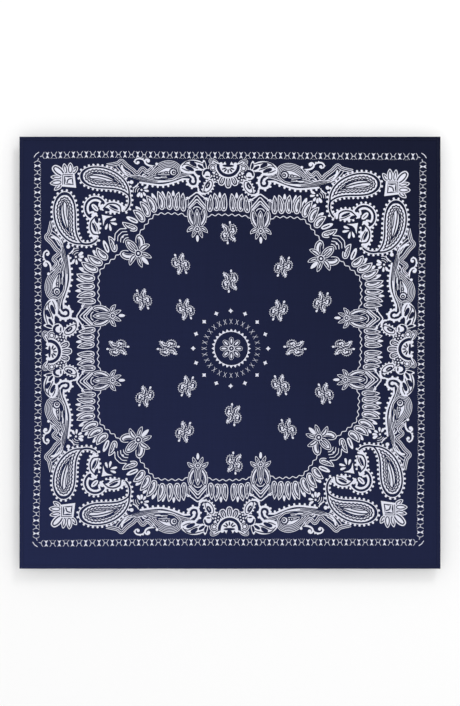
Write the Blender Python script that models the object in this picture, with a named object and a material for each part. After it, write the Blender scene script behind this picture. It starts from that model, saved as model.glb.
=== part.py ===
"""Oversized square scarf, laid flat and face up.

The scarf is one panel of light cotton and the four hems that bind its edges.
X runs across the scarf, Y along it and Z up from the surface it lies on. The
origin is the middle of its underside.
"""

import math

import bmesh
import bpy
from mathutils import Vector

# Outer size of the scarf with its hems, in metres. The cloth is a little
# shorter across than along, as a square that is cut along the weave often is.
SCARF_LENGTH = 0.900  # along Y
SCARF_WIDTH = 0.877  # along X

# The hem is the edge turned twice and pressed flat.
HEM_WIDTH = 0.0075
HEM_HEIGHT = 0.0018
HEM_FOLD_RADIUS = 0.0008  # roundness of the outer fold
HEM_INNER_RADIUS = 0.0004  # roundness of the turned edge beside the panel
HEM_ROUND_SEGMENTS = 3

# The panel is a wall with a flat underside and soft swells on its face.
PANEL_WALL = 0.0010
PANEL_CELLS = 30  # grid cells along each side of its face
SEAM_GAP = 0.0003  # clear space between the panel and the hems
FLAT_RIM = 0.030  # the swells fade out over this distance from the edge

# Soft swells where the cloth doesn't lie quite dead flat. Places are fractions
# of the half width and the half length, the rest is in metres and degrees.
#         across  along  heading  half length  half width  height
SWELLS = (
    (-0.62, 0.55, 38.0, 0.170, 0.050, 0.00045),
    (0.50, 0.66, -24.0, 0.150, 0.045, 0.00035),
    (0.10, 0.08, 8.0, 0.210, 0.060, 0.00040),
    (-0.46, -0.42, -52.0, 0.140, 0.055, 0.00038),
    (0.66, -0.18, 76.0, 0.160, 0.040, 0.00042),
    (0.22, -0.70, 14.0, 0.180, 0.048, 0.00034),
    (-0.80, -0.78, 44.0, 0.090, 0.036, 0.00030),
)

CLOTH_NAVY = (0.0157, 0.0212, 0.0612, 1.0)
HEM_NAVY = (0.0137, 0.0186, 0.0545, 1.0)
CLOTH_ROUGHNESS = 0.88


def clear_scene():
    """Remove whatever objects the open file has."""
    for old in list(bpy.data.objects):
        bpy.data.objects.remove(old, do_unlink=True)


def cloth_material(name, colour):
    """Return a matt cloth material of one colour."""
    material = bpy.data.materials.new(name)
    material.use_nodes = True
    shader = material.node_tree.nodes["Principled BSDF"]
    shader.inputs["Base Color"].default_value = colour
    shader.inputs["Roughness"].default_value = CLOTH_ROUGHNESS
    shader.inputs["Metallic"].default_value = 0.0
    return material


def smooth_step(value):
    """Return 0 below 0, 1 above 1 and a soft rise between."""
    value = min(max(value, 0.0), 1.0)
    return value * value * (3.0 - 2.0 * value)


def swell_height(x, y, half_width, half_length):
    """Return how far the panel's face stands above its wall at a place."""
    height = 0.0
    for across, along, heading, reach, spread, rise in SWELLS:
        turn = math.radians(heading)
        dx = x - across * half_width
        dy = y - along * half_length
        on_line = dx * math.cos(turn) + dy * math.sin(turn)
        off_line = dy * math.cos(turn) - dx * math.sin(turn)
        height += rise * math.exp(-((on_line / reach) ** 2) - (off_line / spread) ** 2)
    to_edge = min(half_width - abs(x), half_length - abs(y))
    return height * smooth_step(to_edge / FLAT_RIM)


def add_object(name, bm, material, collection):
    """Turn a bmesh into a named object that carries its material."""
    bmesh.ops.recalc_face_normals(bm, faces=bm.faces)
    mesh = bpy.data.meshes.new(name)
    bm.to_mesh(mesh)
    bm.free()
    mesh.materials.append(material)
    mesh.shade_smooth()
    mesh.set_sharp_from_angle(angle=math.radians(40.0))
    scarf_piece = bpy.data.objects.new(name, mesh)
    collection.objects.link(scarf_piece)
    return scarf_piece


def make_panel(collection):
    """Make the panel: a gridded face over a flat underside."""
    half_width = SCARF_WIDTH / 2 - HEM_WIDTH - SEAM_GAP
    half_length = SCARF_LENGTH / 2 - HEM_WIDTH - SEAM_GAP
    bm = bmesh.new()
    bmesh.ops.create_grid(bm, x_segments=PANEL_CELLS, y_segments=PANEL_CELLS, size=1.0)
    bmesh.ops.scale(bm, vec=(half_width, half_length, 1.0), verts=bm.verts)

    # The grid is pulled down into an underside, and what was the grid becomes
    # the face, lifted to the wall's height and the swells.
    face_points = list(bm.verts)
    pulled = bmesh.ops.extrude_face_region(bm, geom=list(bm.faces), use_keep_orig=True)
    under_faces = [item for item in pulled["geom"] if isinstance(item, bmesh.types.BMFace)]
    for point in face_points:
        point.co.z = PANEL_WALL + swell_height(point.co.x, point.co.y, half_width, half_length)

    # The underside lies on a surface, so it is one plain face.
    under_set = set(under_faces)
    inner_edges = [
        edge for edge in bm.edges
        if len(edge.link_faces) == 2 and all(face in under_set for face in edge.link_faces)
    ]
    bmesh.ops.dissolve_edges(bm, edges=inner_edges, use_verts=True)
    return add_object(
        "scarf_panel", bm, cloth_material("printed_cotton", CLOTH_NAVY), collection
    )


def make_hem(name, turns, run, reach, collection):
    """Make one hem, mitred at both ends.

    The hem is made as the one on the +X side and then turned by quarter turns.
    run is the scarf's half size along the hem and reach its half size across.
    """
    bm = bmesh.new()
    bmesh.ops.create_cube(bm, size=1.0)
    mitre_gap = SEAM_GAP * math.sqrt(0.5)
    outer_edges = []
    inner_edges = []
    for point in bm.verts:
        outside = point.co.x > 0
        depth = 0.0 if outside else HEM_WIDTH
        end = math.copysign(run - depth - mitre_gap, point.co.y)
        level = HEM_HEIGHT if point.co.z > 0 else 0.0
        point.co = Vector((reach - depth, end, level))
    for edge in bm.edges:
        first, last = (point.co for point in edge.verts)
        runs_along = abs(first.y - last.y) > run
        if runs_along and first.x > reach - HEM_WIDTH / 2:
            outer_edges.append(edge)
        elif runs_along and first.z > HEM_HEIGHT / 2:
            inner_edges.append(edge)
    bmesh.ops.bevel(
        bm, geom=outer_edges, offset=HEM_FOLD_RADIUS, segments=HEM_ROUND_SEGMENTS,
        profile=0.5, affect="EDGES", clamp_overlap=True,
    )
    inner_edges = [edge for edge in inner_edges if edge.is_valid]
    bmesh.ops.bevel(
        bm, geom=inner_edges, offset=HEM_INNER_RADIUS, segments=HEM_ROUND_SEGMENTS,
        profile=0.5, affect="EDGES", clamp_overlap=True,
    )
    hem = add_object(name, bm, cloth_material(name + "_cotton", HEM_NAVY), collection)
    hem.rotation_euler.z = math.radians(90.0 * turns)
    return hem


def build():
    """Build the whole scarf in its own collection."""
    clear_scene()
    collection = bpy.data.collections.new("oversized_scarf")
    bpy.context.scene.collection.children.link(collection)
    make_panel(collection)
    half_width = SCARF_WIDTH / 2
    half_length = SCARF_LENGTH / 2
    make_hem("hem_right", 0, half_length, half_width, collection)
    make_hem("hem_top", 1, half_width, half_length, collection)
    make_hem("hem_left", 2, half_length, half_width, collection)
    make_hem("hem_bottom", 3, half_width, half_length, collection)


build()
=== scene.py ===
"""Oversized printed scarf, laid flat and face up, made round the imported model.

X runs across the scarf, Y along it and Z up from the surface that it lies on.
Everything is in metres unless a name or comment says millimetres. The print is
drawn in millimetres.
"""

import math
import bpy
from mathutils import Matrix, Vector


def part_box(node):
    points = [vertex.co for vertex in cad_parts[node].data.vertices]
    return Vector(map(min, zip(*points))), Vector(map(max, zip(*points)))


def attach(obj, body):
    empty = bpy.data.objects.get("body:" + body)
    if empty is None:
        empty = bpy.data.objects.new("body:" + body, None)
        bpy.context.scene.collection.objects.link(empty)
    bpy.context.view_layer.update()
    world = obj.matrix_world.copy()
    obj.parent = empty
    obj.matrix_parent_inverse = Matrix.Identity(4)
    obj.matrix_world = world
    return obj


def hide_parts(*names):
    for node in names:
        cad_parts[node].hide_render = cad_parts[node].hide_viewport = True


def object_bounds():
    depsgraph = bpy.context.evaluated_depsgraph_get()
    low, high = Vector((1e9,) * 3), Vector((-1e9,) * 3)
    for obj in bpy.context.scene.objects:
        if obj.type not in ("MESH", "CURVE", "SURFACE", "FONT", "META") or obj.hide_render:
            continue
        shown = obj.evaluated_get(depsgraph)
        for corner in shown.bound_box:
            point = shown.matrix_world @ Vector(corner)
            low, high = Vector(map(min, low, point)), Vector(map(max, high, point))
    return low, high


bl_info = {
    "name": "Oversized Printed Scarf",
    "version": (1, 0, 0),
    "blender": (4, 5, 0),
    "location": "View3D > Sidebar > Scarf",
    "description": "Makes a large square cotton scarf with a paisley print and sewn hems",
    "category": "Add Mesh",
}

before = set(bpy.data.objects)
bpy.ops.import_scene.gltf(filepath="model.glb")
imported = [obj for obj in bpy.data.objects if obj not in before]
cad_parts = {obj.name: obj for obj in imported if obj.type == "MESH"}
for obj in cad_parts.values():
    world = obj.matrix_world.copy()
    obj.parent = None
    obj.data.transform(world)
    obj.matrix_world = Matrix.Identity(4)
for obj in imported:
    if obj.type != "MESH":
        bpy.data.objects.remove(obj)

import bpy
import numpy as np
from bpy.props import FloatProperty, FloatVectorProperty, PointerProperty
from mathutils import Vector
from mathutils.geometry import delaunay_2d_cdt

CAD_LOW, CAD_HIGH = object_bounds()
HEM_LOW, HEM_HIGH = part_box("hem_right")

MM = 0.001
WHITE, NAVY = 1, 0
W, N = WHITE, NAVY  # the shades' short names, for the long lists of shapes
STEP = 1.7  # spacing of outline points, mm
CURVE_PARTS = 16  # parts of a curve between two of the points it runs through


# ---------------------------------------------------------------- outlines

# A path or an outline is an array of points in millimetres. An outline is closed
# and runs anticlockwise. A shape is an outline and its shade. Shapes are painted
# in order, so a later one covers an earlier one.


def run_of(path, closed=False):
    """Return how far along a path each point is: the sum of the steps before it."""
    path = np.vstack([path, path[:1]]) if closed else path
    return np.concatenate([[0.0], np.cumsum(np.hypot(*np.diff(path, axis=0).T))])


def picked(values, run, at):
    """Return pairs of values read off at given distances, straight between two points."""
    return np.stack([np.interp(at, run, values[:, 0]), np.interp(at, run, values[:, 1])], axis=1)


def even(path, step=STEP, closed=False):
    """Return a path with its points spaced evenly, about a step apart."""
    if closed:
        path = np.vstack([path, path[:1]])
    run = run_of(path)
    count = max(int(round(run[-1] / step)), 3) + 1
    out = picked(path, run, np.linspace(0.0, run[-1], count))
    return out[:-1] if closed else out


def curve(points, closed=False, step=STEP):
    """Return a smooth path through points.

    Between two points it is a cubic. Its slope at a point is half the way from
    the point before to the point after.
    """
    p = np.asarray(points, float)
    if closed:
        p0, p1, p2, p3 = (np.roll(p, shift, 0) for shift in (1, 0, -1, -2))
    else:
        longer = np.vstack([2 * p[0] - p[1], p, 2 * p[-1] - p[-2]])
        p0, p1, p2, p3 = longer[:-3], longer[1:-2], longer[2:-1], longer[3:]
    t = np.linspace(0, 1, CURVE_PARTS, endpoint=False)[None, :, None]
    p0, p1, p2, p3 = (near[:, None, :] for near in (p0, p1, p2, p3))
    path = 0.5 * (
        2 * p1 + (p2 - p0) * t + (2 * p0 - 5 * p1 + 4 * p2 - p3) * t**2
        + (3 * p1 - p0 - 3 * p2 + p3) * t**3)
    path = path.reshape(-1, 2)
    if not closed:
        path = np.vstack([path, p[-1]])
    return even(path, step, closed)


def normals(path, closed=False):
    """Return the way to the left of a path at each point, with length 1.

    It is the way from the point before to the point after, a quarter turn on.
    """
    if closed:
        way = np.roll(path, -1, 0) - np.roll(path, 1, 0)
    else:
        way = np.gradient(path, axis=0)
    way = way / np.maximum(np.hypot(way[:, 0], way[:, 1]), 1e-9)[:, None]
    return np.stack([-way[:, 1], way[:, 0]], axis=1)


def area(outline):
    """Return the area in an outline, less than 0 if clockwise: half the sum of its cross products."""
    x, y = outline.T
    return 0.5 * np.sum(x * np.roll(y, -1) - y * np.roll(x, -1))


def ccw(outline):
    """Return an outline that runs anticlockwise."""
    return outline if area(outline) > 0 else outline[::-1]


def polygon(corners):
    """Return the straight-sided outline through some corners."""
    return ccw(np.array(corners, float))


def inset(outline, depth):
    """Return an outline with each point moved inwards, along its normal, by a depth."""
    return outline + normals(outline, True) * depth


def ribbon(path, width):
    """Return the outline of a stroke: half its width to each side of a path, and round ends."""
    width = np.broadcast_to(np.asarray(width, float), (len(path),))
    reach = normals(path) * width[:, None] / 2

    def cap(end, sign):
        angle = np.linspace(-np.pi / 2, np.pi / 2, 5)[1:-1, None]
        ahead = np.array([reach[end][1], -reach[end][0]]) * sign
        return path[end] + np.cos(angle) * ahead + np.sin(angle) * reach[end] * sign
    return ccw(np.vstack([path - reach, cap(-1, 1), (path + reach)[::-1], cap(0, -1)]))


def blade(axis, half):
    """Return the outline of a blade: half its width to each side of its axis, and sharp ends."""
    reach = normals(axis) * half[:, None]
    return ccw(np.vstack([axis - reach, (axis + reach)[::-1][1:-1]]))


def hump(t, a, b):
    """Return t to the power a times 1 - t to the power b, over the most that comes to."""
    top = (a / (a + b)) ** a * (b / (a + b)) ** b
    return t**a * (1 - t) ** b / top


def shares(length, step=STEP):
    """Return shares from 0 to 1 of a length: a mix of half a cosine wave and even steps."""
    count = max(int(length / step), 6)
    phi = np.linspace(0, np.pi, count + 1)
    even_shares = np.linspace(0, 1, count + 1)
    return 0.55 * (1 - np.cos(phi)) / 2 + 0.45 * even_shares


def petal(root, tip, width, bend=0.0, a=0.5, b=0.9, step=STEP):
    """Return a petal from its root to its tip: a blade as wide as a hump.

    Its axis is a parabola that bulges to the left by bend at its middle.
    """
    root, tip = np.asarray(root, float), np.asarray(tip, float)
    way = tip - root
    length = np.hypot(*way)
    side = np.array([-way[1], way[0]]) / length
    t = shares(length, step)
    axis = root + way * t[:, None] + side * (4 * bend * t * (1 - t))[:, None]
    return blade(axis, width / 2 * hump(t, a, b))


def swirl(start, heading, length, turn, power, count):
    """Return a path whose heading grows by turn, in degrees, times its share to a power."""
    t = np.linspace(0, 1, count + 1)
    mid = (t[1:] + t[:-1]) / 2
    h = np.radians(heading + turn * mid**power)
    steps = np.stack([np.cos(h), np.sin(h)], 1) * length / count
    return np.vstack([[0, 0], np.cumsum(steps, 0)]) + np.asarray(start, float)


def disc(u, v, r, n=8, turn=0.0, ry=None):
    """Return a round outline of n points: the cosine and sine of even angles times its radii.

    With ry it is an oval, r by ry, turned by turn degrees.
    """
    angle = np.arange(n) * 2 * np.pi / n
    ry = r if ry is None else ry
    points = np.stack([r * np.cos(angle), ry * np.sin(angle)], 1)
    c, s = np.cos(np.radians(turn)), np.sin(np.radians(turn))
    return points @ np.array([[c, s], [-s, c]]) + (u, v)


def star(u, v, points, outer, inner, turn=0.0):
    """Return a star: even angles, with the outer and the inner radius by turns."""
    angle = np.radians(turn) + np.arange(2 * points) * np.pi / points
    r = np.where(np.arange(2 * points) % 2 == 0, outer, inner)
    return np.stack([u + r * np.cos(angle), v + r * np.sin(angle)], 1)


def ripple(path, pitch, depth, closed):
    """Return a path in waves: moved left by depth times half of 1 less the cosine along it."""
    run = run_of(path, closed)
    count = max(round(run[-1] / pitch), 1)
    s = run[:len(path)] / run[-1] * count
    wave = 0.5 - 0.5 * np.cos(2 * np.pi * s)
    return path + normals(path, closed) * (depth * wave)[:, None]


def spots(path, pitch, closed=False):
    """Return even places along a path, one in the middle of each pitch, and its normals there."""
    run = run_of(path, closed)
    round_path = np.vstack([path, path[:1]]) if closed else path
    count = max(int(round(run[-1] / pitch)), 1)
    at = (np.arange(count) + 0.5) * run[-1] / count
    sides = normals(path, closed)
    if closed:
        sides = np.vstack([sides, sides[:1]])
    sides = picked(sides, run, at)
    sides /= np.hypot(sides[:, 0], sides[:, 1])[:, None]
    return picked(round_path, run, at), sides


def beads(path, pitch, radius, out, closed=False, n=7, tall=1.0):
    """Return white beads along a path, moved to its right, which is outwards of an outline.

    A bead reaches out by its radius times tall.
    """
    places, sides = spots(path, pitch, closed)
    angles = np.degrees(np.arctan2(sides[:, 1], sides[:, 0]))
    return [
        (disc(place[0], place[1], radius * tall, n, angle, radius), WHITE)
        for place, angle in zip(places - sides * out, angles)
    ]


def nest(outline, *steps):
    """Return an outline's copies in one another. Each step is its depth and its shade."""
    outline = ccw(outline)
    return [(inset(outline, depth) if depth else outline, shade) for depth, shade in steps]


def mirror(shapes):
    """Return shapes mirrored across the diagonal: across and along change places."""
    return [(points[:, ::-1][::-1], shade) for points, shade in shapes]


def rib(points, width, shade=WHITE, closed=False, taper=None, step=STEP):
    """Return a stroke along a smooth curve through points.

    Its width is multiplied by the numbers of the taper, spread evenly along it. A
    closed one is a ring: half its width outwards, and inwards in the other shade.
    """
    path = curve(points, closed, step)
    if closed:
        outer = ccw(path)
        return [(inset(outer, -width / 2), shade), (inset(outer, width / 2), 1 - shade)]
    if taper is not None:
        spread = np.linspace(0, 1, len(taper))
        width = width * np.interp(np.linspace(0, 1, len(path)), spread, taper)
    return [(ribbon(path, width), shade)]


CHAIN_LINE = 401.8  # how far from the print's middle the chain runs, mm
LINK_PITCH = 27.2  # from one knot of the chain to the next, mm
LINKS = 15


def chain_border():
    """Return half a side of the chain round the print: knots, each with a link of two bars after it."""
    out = []
    for k in range(LINKS):
        u = LINK_PITCH * k
        for side in (-1, 1):
            v = CHAIN_LINE + 7.3 * side
            foot = [(u - 1.0, CHAIN_LINE), (u + 1.0, CHAIN_LINE)]
            out.append((polygon([(u - 4.7, v), *foot, (u + 4.7, v), (u, v - 2.2 * side)]), W))
        out += rib([(u, 396.5), (u, 407)], 2.3, step=12)
        u += LINK_PITCH / 2
        if k == LINKS - 1:
            break
        for side in (-1, 1):
            bar = ((6.4, 395.2), (3.0, 399.4), (3.0, 404.2), (6.0, 408.4))
            out += rib([(u - off * side, v) for off, v in bar], 2.1, step=3.5)
            out += rib([(u - 3.2 * side, 395), (u - 0.8 * side, 395)], 1.7, step=9)
        out += rib([(u - 3, CHAIN_LINE), (u + 3, CHAIN_LINE)], 2.4, step=9)
    # The corner has the last bar and the ends of the two sides.
    out += rib([(387.4, 395.4), (390.6, 399.2), (390.4, 404.0), (387.6, 408.2)], 2.1, step=3.5)
    out += rib([(391, 401.2), (395.6, 399.6)], 2.4, step=9)
    out += rib([(399.0, 408.6), (404.8, 404.8)], 2.7, step=9)
    return out


def leaf_in_leaf(root, tip, width, bend=0.0, a=0.5, b=0.75, rim=2.2, line=1.4):
    """Return a white leaf with a navy line inside it, rim in from its edge."""
    return nest(petal(root, tip, width, bend, a, b), (0, W), (rim, N), (rim + line, W))


def corner_flower():
    """Return a flower in the print's corner: seven petals behind a square with a star in it."""
    rows = (  # root, tip, width
        ((330, 351), (318, 368), 12.0),
        ((334, 350), (333.5, 377), 14.5),
        ((343, 350), (347, 375.5), 12.5),
    )
    half = []
    for root, tip, width in rows:
        half += leaf_in_leaf(root, tip, width, 0, 0.45, 0.62, 2.9, 0.9)
    out = half + mirror(half)
    out += nest(petal((345, 345), (370.5, 370.5), 19.5, 0, 0.5, 0.42), (0, W), (3.6, N), (5.2, W))
    squares = (  # the nearest corner, the two beside it, and the far one, each on or about the diagonal
        (321, 325, 353, W),
        (327.2, 329, 350.2, N),
        (324.5, 327, 349.4, W),
        (327.5, 329.4, 346.6, N),
    )
    for near, beside, far, shade in squares:
        out.append((polygon([(near, near), (far, beside), (far, far), (beside, far)]), shade))
    out.append((star(337.2, 337.2, 4, 12.0, 6.9, 45), W))
    out += rib([(332, 341), (338.6, 338.6), (341, 332)], 1.6, N)
    return out


def great_paisley():
    """Return a great paisley: a blade as wide as a hump along a curl, its bead edge, scallops and lines."""
    head, length, body_length, radius = (313, 346), 153, 121.0, 23.0
    full = swirl(head, 181, length, 140, 2.6, 300)
    run = run_of(full)
    s = shares(length) * length
    half = radius * hump(np.clip(s / body_length, 0, 1), 0.5, 1.0)
    tail = 1.5 * np.clip((length - s) / 4, 0, 1) ** 0.5
    whole = blade(picked(full, run, s), np.where(s > 40, np.maximum(half, tail), half))
    t = shares(body_length)
    body = blade(picked(full, run, t * body_length), radius * hump(t, 0.5, 1.0))
    to_head = np.hypot(*(body - head).T)
    band = 2.3 + 3.2 * np.clip(1 - to_head / 34, 0, 1)
    inner = inset(body, band[:, None])
    out = beads(inset(whole, -2.6), 9.6, 3.1, 1.6, True, 8)
    out += [(inset(whole, -2.8), W), (whole, N), (inner, W)]
    for depth, pitch, height, width in ((3.4, 8.2, 2.0, 1.7), (8.4, 7.4, 1.4, 1.2)):
        scallop = ripple(inset(inner, depth), pitch, height, True)
        out += [(scallop, N), (inset(scallop, width), W)]
    core = inset(inner, 12.4)
    out += [(core, N), (inset(core, 1.3), W)]
    out += rib([(228, 331), (246, 340), (266, 345.5), (284, 348), (297, 346.5)],
               1.5, N, taper=(.4, 1, 1, .5))
    out += rib([(236, 341), (252, 348.5), (270, 352.5), (290, 354)], 1.0, N, taper=(.4, 1, 1, .4))
    out += rib([(258, 338), (274, 341), (291, 341)], 1.0, N, taper=(.4, 1, .4))
    return out


def corner_ring():
    """Return the ring on the diagonal with its bead edge, two arms and bud. Its band is half open."""
    c = 280.0  # its middle, both across and along

    def arc(r, a0, a1, n=22):
        angle = np.radians(np.linspace(a0, a1, n))
        return np.stack([c + r * np.cos(angle), c + r * np.sin(angle)], 1)
    out = beads(even(arc(26.5, -62, 152)), 9.2, 3.0, 1.6, False, 8)
    out.append((ribbon(even(arc(23.6, -68, 158)), 5.6), W))
    out.append((ribbon(even(arc(18.6, -60, 150)), 8.0), N))
    out.append((disc(c - 2.5, c - 2.5, 14.2, 22), N))
    out.append((ribbon(even(arc(16.4, -38, 128)), 5.6), W))
    half = [(petal((270.5, 293), (272.5, 281.5), 5.8, 0, 0.5, 0.5), W)]
    half.append((petal((264.5, 288), (268, 275), 9.0, 1.0, 0.5, 0.5), W))
    # An arm, mirrored with the rest of the half.
    arm = petal((265, 281.5), (219, 281.5), 25, -1.0, 0.5, 0.55)
    half += beads(arm, 9.0, 3.0, 0.9, True, 8)
    half.append((arm, W))
    half.append((petal((264, 279.5), (250, 274.5), 6.0, -0.5, 0.5, 0.5), N))
    half += rib([(226.5, 275), (228.5, 284.5), (239, 290), (252, 289), (262, 281)],
                2.0, N, taper=(.6, 1, 1, 1, .5))
    half.append((petal((250, 286), (232.5, 278), 4.6, 0, 0.5, 0.5), N))
    half += rib([(231, 273.5), (240, 276), (250, 281.5)], 1.2, N, taper=(.6, 1, .4))
    out += half + mirror(half)
    out.append((petal((274, 274), (288, 288), 10.5, 0, 0.5, 0.5), W))
    out += rib([(277, 277), (280, 280), (284, 284)], 0.9, N, taper=(.4, 1, .4))
    return out


def arrow_and_fan():
    """Return the arrowhead on the diagonal and the fan of four petals behind it."""
    arrow = [
        (243, 263.5), (254.5, 259.5), (257.2, 257.2), (259.5, 254.5),
        (263.5, 243), (265, 256), (267, 267), (256, 265),
    ]
    half = [
        (petal((249.5, 254), (236, 258.5), 6.2, 0, 0.8, 0.45), W),
        (petal((249, 250.5), (233.5, 247), 6.2, 0, 0.8, 0.45), W),
    ]
    return [(polygon(arrow), W)] + half + mirror(half)


LEAVES = (
    # base, tip, width, bend
    ((9.2, 281), (6.6, 319.5), 15, -1.5),
    ((25.5, 281), (29.5, 319.5), 15, 2.0),
    ((40, 279), (37, 316), 13.5, 1.0),
    ((94, 278), (95, 318), 13.5, -1.5),
    ((108.5, 279), (103.5, 319.5), 15, -2.5),
    ((125, 280), (127, 320), 15, 2.0),
    ((140.5, 279.5), (149.5, 319.5), 15.5, 3.0),
    ((156, 273), (173.5, 309), 16, 3.5),
    ((169, 263.5), (187, 296), 16, 3.5),
    ((179, 252.5), (201.5, 277), 16, 3.5),
    ((191, 239), (224, 252.5), 15, -3.0),
)
LEAFLETS = (
    # base, tip, width
    ((18, 282), (17.5, 321.5), 9.5),
    ((33.5, 281), (31.5, 314), 7.5),
    ((47, 284), (45, 309), 7.0),
    ((101.5, 283), (97.5, 315), 8.0),
    ((116.5, 283), (116, 322), 9.5),
    ((131.5, 283), (139.5, 320), 10.0),
    ((147, 282), (161.5, 314.5), 10.5),
    ((160.5, 275), (180.5, 302.5), 10.5),
    ((174, 265), (196, 285.5), 10.5),
    ((190, 252), (215.5, 263), 10.5),
)


def leaf_band():
    """Return the band of leaves: slim ones behind, then broad ones, each with its veins."""
    out = []
    for base, tip, width in LEAFLETS:
        out.append((petal(base, tip, width, 0, 0.42, 0.5), W))
        out += veins(base, tip, 0, (0, 0.15, 0.72, 1.6))
    for base, tip, width, bend in LEAVES:
        wide = width * 1.06
        leaf = petal(base, tip, wide, bend, 0.42, 0.68)
        out.append((inset(leaf, -0.5), N))
        out += nest(leaf, (0, W), (3.0, N), (3.9, W))
        out += veins(base, tip, bend, (-1.3, 0.2, 0.74, 0.9), (1.5, 0.24, 0.66, 0.8))
    return out


def wavy_line():
    """Return the wavy line inside the band: curves rippled by 3.6 mm, once each 14.6 mm."""
    out = []
    for base in (
        curve([(0, 272.8), (17, 272.6), (34, 271.0), (44, 268), (48, 258)]),
        curve([
            (84, 258), (90, 268), (104, 271.3), (145, 270), (160, 262), (181, 236), (190, 225), (188, 216),
        ]),
    ):
        out.append((ribbon(ripple(base, 14.6, 3.6, False), 2.7), W))
    return out


PENDANT_PLACE = 66.0  # how far from the middle of a side its pendants hang, mm


def arch():
    """Return the nested chevrons over a side pendant, with a bracket at either side."""
    m = PENDANT_PLACE
    out = [(polygon([(m - 20, 286), (m + 20, 286), (m + 20, 306), (m, 321), (m - 20, 306)]), N)]
    chevrons = (  # height of the peak, half span, drop to the feet, width of the line
        (318.6, 23, 15.5, 3.6),
        (311.8, 18.5, 20.5, 3.2),
        (304.2, 17, 17.5, 3.6),
        (298.6, 14, 12, 2.6),
    )
    for v, half, fall, width in chevrons:
        spread = ((-1, 1), (-0.45, 0.42), (0, 0), (0.45, 0.42), (1, 1))
        out += rib([(m + half * off, v - fall * low) for off, low in spread], width)
    out.append((polygon([(m - 4.5, 291), (m + 4.5, 291), (m, 297.5)]), N))
    for side in (-1, 1):
        out += rib([(m + 15 * side, 305.5), (m + 20 * side, 307.8), (m + 24.5 * side, 306)],
                   3.6, taper=(.8, 1.1, .6))
        out += rib([(m + 18.3 * side, 305), (m + 18.0 * side, 296), (m + 19.3 * side, 287)], 2.0)
        out += rib([(m + 21.8 * side, 305), (m + 21.8 * side, 296), (m + 22 * side, 287)], 1.8)
    out += rib([(m - 8, 284.5), (m - 5, 288), (m, 289.2), (m + 5, 288), (m + 8, 284.5)], 3.0)
    return out


def side_pendant():
    """Return the lily that hangs at a side: six leaves, a bud and a ringed heart."""
    m = PENDANT_PLACE
    out = []
    # The leaves at either side come first, and the bud over them.
    for side in (-1, 1):
        root, tip = (m + 4 * side, 246), (m + 15 * side, 287)
        out += leaf_in_leaf(root, tip, 15.5, -3.5 * side, 0.6, 0.5, 2.3, 1.0)
        out += veins(root, tip, -3.5 * side, (1.3 * side, 0.2, 0.85, 1.2), (-1.6 * side, 0.3, 0.85, 1.0))
        out += leaf_in_leaf((m + 4 * side, 247), (m + 22 * side, 236), 10.5, 2.5 * side, 0.5, 0.7, 2.3, 1.0)
        out += leaf_in_leaf((m + 2 * side, 243), (m + 10.5 * side, 225), 9, 1.0 * side, 0.5, 0.7, 2.3, 1.0)
    bud = petal((m, 246), (m, 286), 15, 0, 0.5, 0.7)
    out.append((inset(bud, -1.2), N))
    out += nest(bud, (0, W), (2.3, N), (3.2, W))
    out += veins((m, 246), (m, 286), 0, (-1.3, 0.15, 0.66, 0.9), (1.3, 0.15, 0.66, 0.9))
    out.append((disc(m, 243.5, 6.6, 14), W))
    out.append((disc(m, 243.5, 4.0, 10), N))
    out.append((disc(m, 243.5, 2.6, 8), W))
    out.append((petal((m, 217), (m, 232), 7.2, 0, 0.6, 0.5), W))
    return out


def corner_pendant():
    """Return a lily whose stem lies on the diagonal, under nested chevrons."""
    half = []
    chevrons = (  # distance back from the first, reach, bow, width
        (0.0, 21, 3.5, 2.9), (6.0, 17, 3.0, 2.6), (12.0, 13, 2.0, 2.8), (18.0, 8, 1.0, 2.8),
    )
    for back, reach, bow, width in chevrons:
        p = 237.0 - back
        half += rib([(p - reach, p + 2.0), (p - reach * 0.45, p + 1.2), (p - bow, p - bow)], width)
    out = [(polygon([(206, 240), (236, 236), (240, 206), (214, 214)]), N)]
    out += half + mirror(half)
    out.append((disc(222.5, 222.5, 3.4, 4), W))
    loc = []
    for side in (-1, 1):
        root, tip, bend = (3.5 * side, 18), (25 * side, 45), -4.5 * side
        loc += leaf_in_leaf(root, tip, 20, bend, 0.6, 0.45, 2.6, 1.4)
        loc += veins(root, tip, bend, (1.6 * side, 0.2, 0.85, 1.6), (-2.0 * side, 0.25, 0.8, 1.4))
        loc += leaf_in_leaf((3 * side, 18), (30 * side, 12), 12.5, 3 * side, 0.5, 0.6, 2.4, 1.2)
        loc += veins((3 * side, 18), (30 * side, 12), 3 * side, (0, 0.3, 0.75, 1.2))
        loc += leaf_in_leaf((3 * side, 15), (14 * side, -9), 10.5, 1 * side, 0.5, 0.6, 2.3, 1.2)
    bud = petal((0, 20), (0, 54), 19, 0, 0.5, 0.55)
    loc.append((inset(bud, -1.6), N))
    loc += nest(bud, (0, W), (2.6, N), (3.8, W))
    loc += veins((0, 20), (0, 54), 0, (-1.9, 0.15, 0.72, 1.3), (1.9, 0.15, 0.72, 1.3))
    loc += [(disc(0, 17, 8.0, 18), W), (disc(0, 17, 5.4, 14), N), (disc(0, 17, 3.2, 10), W)]
    loc += nest(petal((0, -14), (0, 8), 9, 0, 0.6, 0.5), (0, W))
    d = np.sqrt(0.5)  # the sine and the cosine of 45 degrees
    out += [(points @ np.array([[d, -d], [d, d]]) + (178, 178), shade) for points, shade in loc]
    return out


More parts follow.
